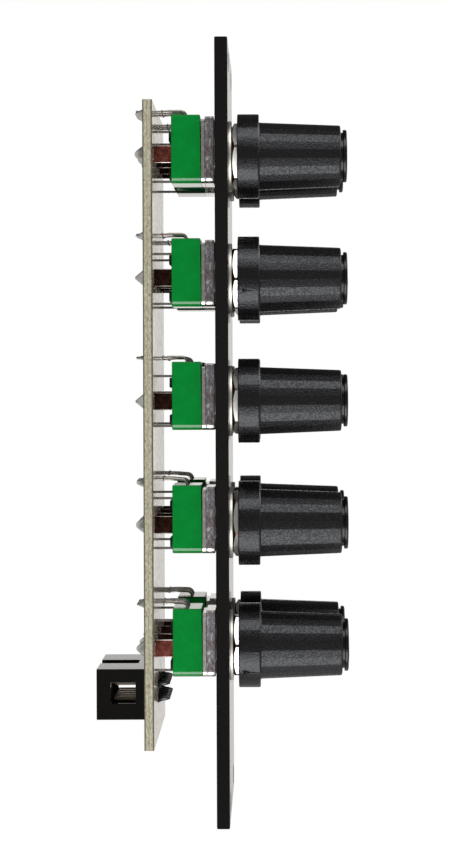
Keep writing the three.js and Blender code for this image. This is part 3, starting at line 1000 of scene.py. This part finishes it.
ACROSS_FLATS = 10 * MM
NUT_FACE_SHARE = 0.95
NUT_CORNER_SHARE = 0.962
NUT_CHAMFER_DEGREES = 32
WASHER_RADIUS = 5.85 * MM
WASHER_THICKNESS = 0.5 * MM


def hexagon_share(angle):
    """Distance to a hexagon's slightly bulging side, over that to its sharp corner, which is at angle 0."""
    sixth = FULL_TURN / 6
    from_side = (angle % sixth) - sixth / 2
    flatness = 0.85
    return math.cos(sixth / 2) / math.cos(from_side) ** flatness


def nut_mesh():
    """Hexagon nut, chamfered by a cone on both faces, with a bore."""
    bm = bmesh.new()
    corner = ACROSS_FLATS / 2 / math.cos(math.pi / 6)
    face_radius = ACROSS_FLATS / 2 * NUT_FACE_SHARE
    slope = math.tan(math.radians(NUT_CHAMFER_DEGREES))
    angles = even_angles(144)
    back = PANEL_FRONT - WASHER_THICKNESS
    bore = 3.56 * MM
    bore_edge = 0.3 * MM

    def side_ring(y, direction):
        points = []
        for angle in angles:
            radius = corner * min(hexagon_share(angle), NUT_CORNER_SHARE)
            drop = (radius - face_radius) * slope
            points.append(Vector((radius * math.sin(angle), y + direction * drop, radius * math.cos(angle))))
        return points

    def end_rings(y, direction):
        profile = [(bore, y + direction * bore_edge), (bore + bore_edge, y), (face_radius, y)]
        return [ring(radius, level, angles) for radius, level in profile] + [side_ring(y, direction)]

    loft(bm, end_rings(back, -1) + end_rings(NUT_FRONT, 1)[::-1], True)
    bmesh.ops.recalc_face_normals(bm, faces=bm.faces)
    # Back chamfers and corner roundings get the dark metal, painted shade
    nearly = 0.998
    backward = 0.3
    for face in bm.faces:
        centre = face.calc_center_median()
        reach = math.hypot(centre.x, centre.z)
        chamfer = reach > face_radius and face.normal.y > backward
        rounding = reach > corner * NUT_CORNER_SHARE * nearly
        face.material_index = 1 if chamfer or rounding else 0
    return finished(bm, "nut", [NUT_METAL, NUT_EDGE_SHADE], 20)


def washer_mesh():
    bm = bmesh.new()
    inner = 3.6 * MM
    front = PANEL_FRONT - WASHER_THICKNESS
    edge = 0.1 * MM
    corners = [(inner, front), (WASHER_RADIUS, front), (WASHER_RADIUS, PANEL_FRONT), (inner, PANEL_FRONT)]
    revolve(bm, rounded_profile(corners, {1: edge, 2: edge}), 72, closed=True)
    return finished(bm, "washer", [WASHER_METAL])


# Knob

FACETS = 24
FACET_TURN = FULL_TURN / FACETS
EDGE_TURN = math.radians(0.9)
FLANGE_RADIUS = 7 * MM
BODY_BASE_RADIUS = 5.62 * MM
BODY_TOP_RADIUS = 5.09 * MM
CAP_RECESS = 3.95 * MM
CAP_SEAT = BODY_FRONT + 1.2 * MM

# Outlines of the flange's index arrow, across X and up from the knob's underside
ARROW_OUTER = [(-0.62 * MM, 0.5 * MM), (0, 2.15 * MM), (0.62 * MM, 0.5 * MM)]
ARROW_INNER = [(-0.3 * MM, 0.82 * MM), (0, 1.6 * MM), (0.3 * MM, 0.82 * MM)]
ARROW_DEPTH = 0.16 * MM


def knob_angles():
    """Angles of a ring: both sides of each facet's corner, and the facet's middle."""
    steps = (-EDGE_TURN, EDGE_TURN, FACET_TURN / 2)
    return [FACET_TURN * i + step for i in range(FACETS) for step in steps]


def facet_share(angle):
    """Distance to a facet, as a share of that to its corner."""
    from_middle = (angle % FACET_TURN) - FACET_TURN / 2
    return math.cos(FACET_TURN / 2) / math.cos(from_middle)


def knob_mesh():
    """Hollow skirt, round flange and tapered body with flat facets."""
    bm = bmesh.new()
    angles = knob_angles()
    recess = 6.12 * MM
    roof = -5.5 * MM
    bore = 3.1 * MM
    bore_end = -15.3 * MM
    fillet = 0.25 * MM
    end_edge = 0.3 * MM
    plain = [(0, bore_end), (bore, bore_end), (bore, roof), (recess, roof), (recess, KNOB_UNDERSIDE)]
    skirt = [(recess, KNOB_UNDERSIDE), (FLANGE_RADIUS, KNOB_UNDERSIDE)]
    skirt += [(FLANGE_RADIUS, FLANGE_FRONT), (BODY_BASE_RADIUS, FLANGE_FRONT)]
    plain += rounded_profile(skirt, {1: fillet * 0.6, 2: fillet})[1:-1]
    rings = [ring(radius, y, angles) for radius, y in plain]
    body = [(BODY_BASE_RADIUS, FLANGE_FRONT), (BODY_TOP_RADIUS, BODY_FRONT), (CAP_RECESS, BODY_FRONT)]
    facets = [(BODY_BASE_RADIUS + fillet / 2, FLANGE_FRONT), (BODY_BASE_RADIUS, FLANGE_FRONT - fillet / 2)]
    facets += rounded_profile(body, {1: end_edge})[1:-1]
    rings += [ring(radius, y, angles, facet_share) for radius, y in facets]
    seat = [(CAP_RECESS, BODY_FRONT), (CAP_RECESS, CAP_SEAT), (0, CAP_SEAT)]
    rings += [ring(radius, y, angles) for radius, y in seat]
    loft(bm, rings)
    flange_end = FLANGE_FRONT - 0.05 * MM
    for face in bm.faces:
        face.material_index = 1 if face.calc_center_median().y > flange_end else 0
    return engraved(finished(bm, "knob_body", [KNOB, FLANGE], 9))


def engraved(mesh):
    """Knob body with its index arrow cut into the flange at the top."""
    bm = bmesh.new()
    low = FLANGE_RADIUS - ARROW_DEPTH
    high = FLANGE_RADIUS + PAST / 2
    levels = []
    for outline, level in ((ARROW_OUTER, low), (ARROW_OUTER, high), (ARROW_INNER, high), (ARROW_INNER, low)):
        levels.append([Vector((x, KNOB_UNDERSIDE - up, level)) for x, up in outline])
    loft(bm, levels, True)
    return with_cuts(mesh, [finished(bm, "engraving_tool", [FLANGE])], "knob_body")


# Cap and its pointer

NECK_RADIUS = 3.9 * MM
NECK_BACK = BODY_FRONT + 1.1 * MM
CAP_RADIUS = 4.36 * MM
CAP_DOME = 0.12 * MM
PAINT_THICKNESS = 0.04 * MM
POINTER_WIDTH = 0.56 * MM
POINTER_START = 0.6 * MM
POINTER_END = 3.9 * MM


def dome_depth(share):
    """Where the painted face of the cap lies along Y, at a share of the cap's radius."""
    return CAP_FRONT + CAP_DOME * share ** 2


def cap_mesh():
    """Round cap with a domed face, on its neck."""
    bm = bmesh.new()
    edge = 0.22 * MM
    shares = (0, 0.2, 0.4, 0.6, 0.8, 1)
    corners = [(CAP_RADIUS * share, dome_depth(share) + PAINT_THICKNESS) for share in shares]
    corners += [(CAP_RADIUS, CAP_BACK), (NECK_RADIUS, CAP_BACK), (NECK_RADIUS, NECK_BACK), (0, NECK_BACK)]
    rim = len(shares) - 1
    revolve(bm, rounded_profile(corners, {rim: edge, rim + 1: edge * 0.6}), 72)
    return finished(bm, "knob_cap", [CAP], 35)


def pointer_mesh():
    """Painted line on the cap, from its middle to its rim, rooted in the cap."""
    bm = bmesh.new()
    half = POINTER_WIDTH / 2
    steps = 8
    rings = []
    for i in range(steps + 1):
        z = POINTER_START + (POINTER_END - POINTER_START) * i / steps
        y = dome_depth(z / CAP_RADIUS)
        root = y + 3 * PAINT_THICKNESS
        outline = ((half, root), (half, y), (-half, y), (-half, root))
        rings.append([Vector((x, level, z)) for x, level in outline])
    loft(bm, with_ends(rings))
    return finished(bm, "knob_pointer", [PAINT])


# Controls, each with its own potentiometer, nut, washer and knob

def make_controls():
    housing = housing_mesh()
    cover = cover_mesh()
    bushing = bushing_mesh()
    usual_lugs = lug_mesh(LUG_METAL, LEAD_METAL)
    lit_lugs = lug_mesh(LIT_LUG_METAL, COVER_EDGE)
    pins = pin_mesh()
    pads = pad_mesh()
    shaft = shaft_mesh()
    nut = nut_mesh()
    washer = washer_mesh()
    knob = knob_mesh()
    cap = cap_mesh()
    pointer = pointer_mesh()
    leads = [lead_mesh(lift) for lift in LEAD_LIFTS]
    for index, (joint, nut_turn) in enumerate(zip(frame["joints"], NUT_DEGREES)):
        n = index + 1
        x, _, z = joint["pos_m"]
        knob_turn = -CONTROL_TRAVEL / 2 - joint["range_deg"][0]
        rotor = joint["child"]
        lugs = lit_lugs if n in LIT_LUGS else usual_lugs
        pieces = [
            (f"pot_{n}_housing", housing, "chassis", "housing_plastic", [f"pot_housing_{n}"], 0),
            (f"pot_{n}_cover", cover, "chassis", "cover_metal", [f"pot_cover_{n}"], 0),
            (f"pot_{n}_bushing", bushing, "chassis", "nut_plating", (), 0),
            (f"pot_{n}_leads", leads[index % ROWS], "chassis", "cover_metal", (), 0),
            (f"pot_{n}_lugs", lugs, "chassis", "cover_metal", (), 0),
            (f"pot_{n}_pins", pins, "chassis", "cover_metal", (), 0),
            (f"pot_{n}_pads", pads, "chassis", "header_plastic", (), 0),
            (f"pot_{n}_shaft", shaft, rotor, "shaft_metal", [f"pot_shaft_{n}"], knob_turn),
            (f"hexagon_nut_{n}", nut, "chassis", "nut_plating", [f"nut_{n}"], nut_turn),
            (f"washer_{n}", washer, "chassis", "nut_plating", (), nut_turn),
            (f"knob_{n}_body", knob, rotor, "knob_plastic", [f"knob_{n}"], knob_turn),
            (f"knob_{n}_cap", cap, rotor, "knob_plastic", (), knob_turn),
            (f"knob_{n}_pointer", pointer, rotor, "knob_plastic", (), knob_turn),
        ]
        for name, mesh, body, slot, nodes, turn in pieces:
            piece(name, mesh, body, nodes, (x, 0, z), turn)


# Stage: floor, surroundings and lamps

FLOOR_DROP = 520 * MM
FLOOR_HALF = 1500 * MM

# Strength of the surroundings in reflections and for dull surfaces, and their tint in reflections
ROOM_STRENGTH = 0.08
FILL_STRENGTH = 0.42
REFLECTED_TINT = (1, 0.975, 0.935, 1)

# Lights in reflections: axis, share of it in the direction where the light starts and is full, strength
WALL_BEHIND = ("X", 0.955, 0.987, 0.92)
CAMERA_GLOW = ("X", -0.79, -0.93, 0.2)
CAMERA_HEART = ("X", -0.984, -0.996, 0.14)
BOARD_LIGHT = ("Y", 0.65, 0.95, 0.45)
PANEL_LIGHT = ("Y", -0.4, -0.95, 0.5)

# Lamps that face the object's middle. Azimuth 0 is the -Y side and -90 the -X side, in degrees.
# Name, azimuth, elevation, distance, width, height and radiance
SOFTBOXES = [
    ("softbox_above", -80, 59, 520 * MM, 420 * MM, 280 * MM, 3.8),
    ("softbox_below", -86, -50, 460 * MM, 300 * MM, 380 * MM, 4.4),
    ("softbox_front", 20, 35, 600 * MM, 400 * MM, 300 * MM, 3.6),
]


def light_rays(tree):
    """One for camera and transmission rays, and one for glossy rays."""
    rays = added(tree, "ShaderNodeLightPath").outputs
    seen = {0: rays["Is Camera Ray"], 1: rays["Is Transmission Ray"]}
    return added(tree, "ShaderNodeMath", seen, operation="MAXIMUM").outputs["Value"], rays["Is Glossy Ray"]


def mixed(tree, share, low, high, kind="FLOAT"):
    """low where share is nought and high where it is one. Each is a value or an output."""
    inputs = {"Factor": share, "A": low, "B": high}
    return added(tree, "ShaderNodeMix", inputs, data_type=kind).outputs["Result"]


def direction_share(tree, value, start, end, strength):
    """Smooth rise from nought to strength as value goes from start to end."""
    inputs = {"From Min": start, "From Max": end, "To Max": strength, "Value": value}
    return added(tree, "ShaderNodeMapRange", inputs, interpolation_type="SMOOTHSTEP").outputs["Result"]


def make_world():
    """Surroundings: white to the camera, and in reflections dark but for the listed lights."""
    world = bpy.data.worlds.new("studio")
    bpy.context.scene.world = world
    world.use_nodes = True
    tree = world.node_tree
    background = tree.nodes["Background"]
    seen, glossy = light_rays(tree)
    tint = mixed(tree, glossy, (1, 1, 1, 1), REFLECTED_TINT, "RGBA")
    tree.links.new(tint, background.inputs["Color"])
    place = added(tree, "ShaderNodeTexCoord").outputs["Generated"]
    axes = added(tree, "ShaderNodeSeparateXYZ", {"Vector": place}).outputs
    light = ROOM_STRENGTH
    for axis, start, end, strength in (WALL_BEHIND, CAMERA_GLOW, CAMERA_HEART, BOARD_LIGHT, PANEL_LIGHT):
        share = direction_share(tree, axes[axis], start, end, strength)
        light = added(tree, "ShaderNodeMath", {0: share, 1: light}, operation="ADD").outputs["Value"]
    reflected = mixed(tree, glossy, FILL_STRENGTH, light)
    tree.links.new(mixed(tree, seen, reflected, 1), background.inputs["Strength"])


def make_floor():
    """Pale floor, which looks white to the camera."""
    bm = bmesh.new()
    level = Matrix.Translation((0, 0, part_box("panel")[0].z - FLOOR_DROP))
    bmesh.ops.create_grid(bm, x_segments=8, y_segments=8, size=FLOOR_HALF, matrix=level)
    material, tree, shader = new_material("floor", (0.85, 0.85, 0.85), roughness=0.9, specular=0.1)
    seen, _ = light_rays(tree)
    shader.inputs["Emission Color"].default_value = (1, 1, 1, 1)
    tree.links.new(mixed(tree, seen, 0, 0.85), shader.inputs["Emission Strength"])
    in_scene(bpy.data.objects.new("floor", finished(bm, "floor", [material])))


def make_lamps():
    middle = (cad_bounds[0] + cad_bounds[1]) / 2
    for name, azimuth, elevation, distance, width, height, radiance in SOFTBOXES:
        data = bpy.data.lights.new(name, "AREA")
        data.shape = "RECTANGLE"
        data.size = width
        data.size_y = height
        data.energy = radiance * math.pi * width * height
        lamp = in_scene(bpy.data.objects.new(name, data))
        a = math.radians(azimuth)
        e = math.radians(elevation)
        away = Vector((math.sin(a) * math.cos(e), -math.cos(a) * math.cos(e), math.sin(e)))
        lamp.location = middle + away * distance
        lamp.rotation_mode = "QUATERNION"
        lamp.rotation_quaternion = away.to_track_quat("Z", "Y")
        lamp.visible_camera = False


# Camera, fitted to the photograph's frame of 454 by 863 pixels

FRAME_WIDTH = 454
FRAME_HEIGHT = 863
SENSOR = 36
FOCAL_PIXELS = 2246.6
CENTRE_X_PIXEL = 271.34
CENTRE_Y_PIXEL = 376.22
CAMERA_PLACE = (-384.23 * MM, -9.09 * MM, 9.14 * MM)
CAMERA_ROLL = -0.21
NEAREST = 10 * MM
FARTHEST = 10000 * MM


def make_camera():
    data = bpy.data.cameras.new("camera")
    data.sensor_width = SENSOR
    data.lens = FOCAL_PIXELS * SENSOR / FRAME_HEIGHT
    data.shift_x = (FRAME_WIDTH / 2 - CENTRE_X_PIXEL) / FRAME_HEIGHT
    data.shift_y = (CENTRE_Y_PIXEL - FRAME_HEIGHT / 2) / FRAME_HEIGHT
    data.clip_start = NEAREST
    data.clip_end = FARTHEST
    camera = in_scene(bpy.data.objects.new("camera", data))
    camera.location = CAMERA_PLACE
    level = Matrix.Rotation(math.radians(-90), 3, "Z") @ Matrix.Rotation(math.radians(90), 3, "X")
    roll = Matrix.Rotation(math.radians(CAMERA_ROLL), 3, "Z")
    camera.rotation_euler = (level @ roll).to_euler()
    bpy.context.scene.camera = camera


make_camera()
make_panel()
make_board()
make_back_solder()
make_header_solder()
make_pads()
make_header()
make_contacts()
make_controls()
make_world()
make_floor()
make_lamps()
bpy.context.scene.view_settings.view_transform = "Standard"
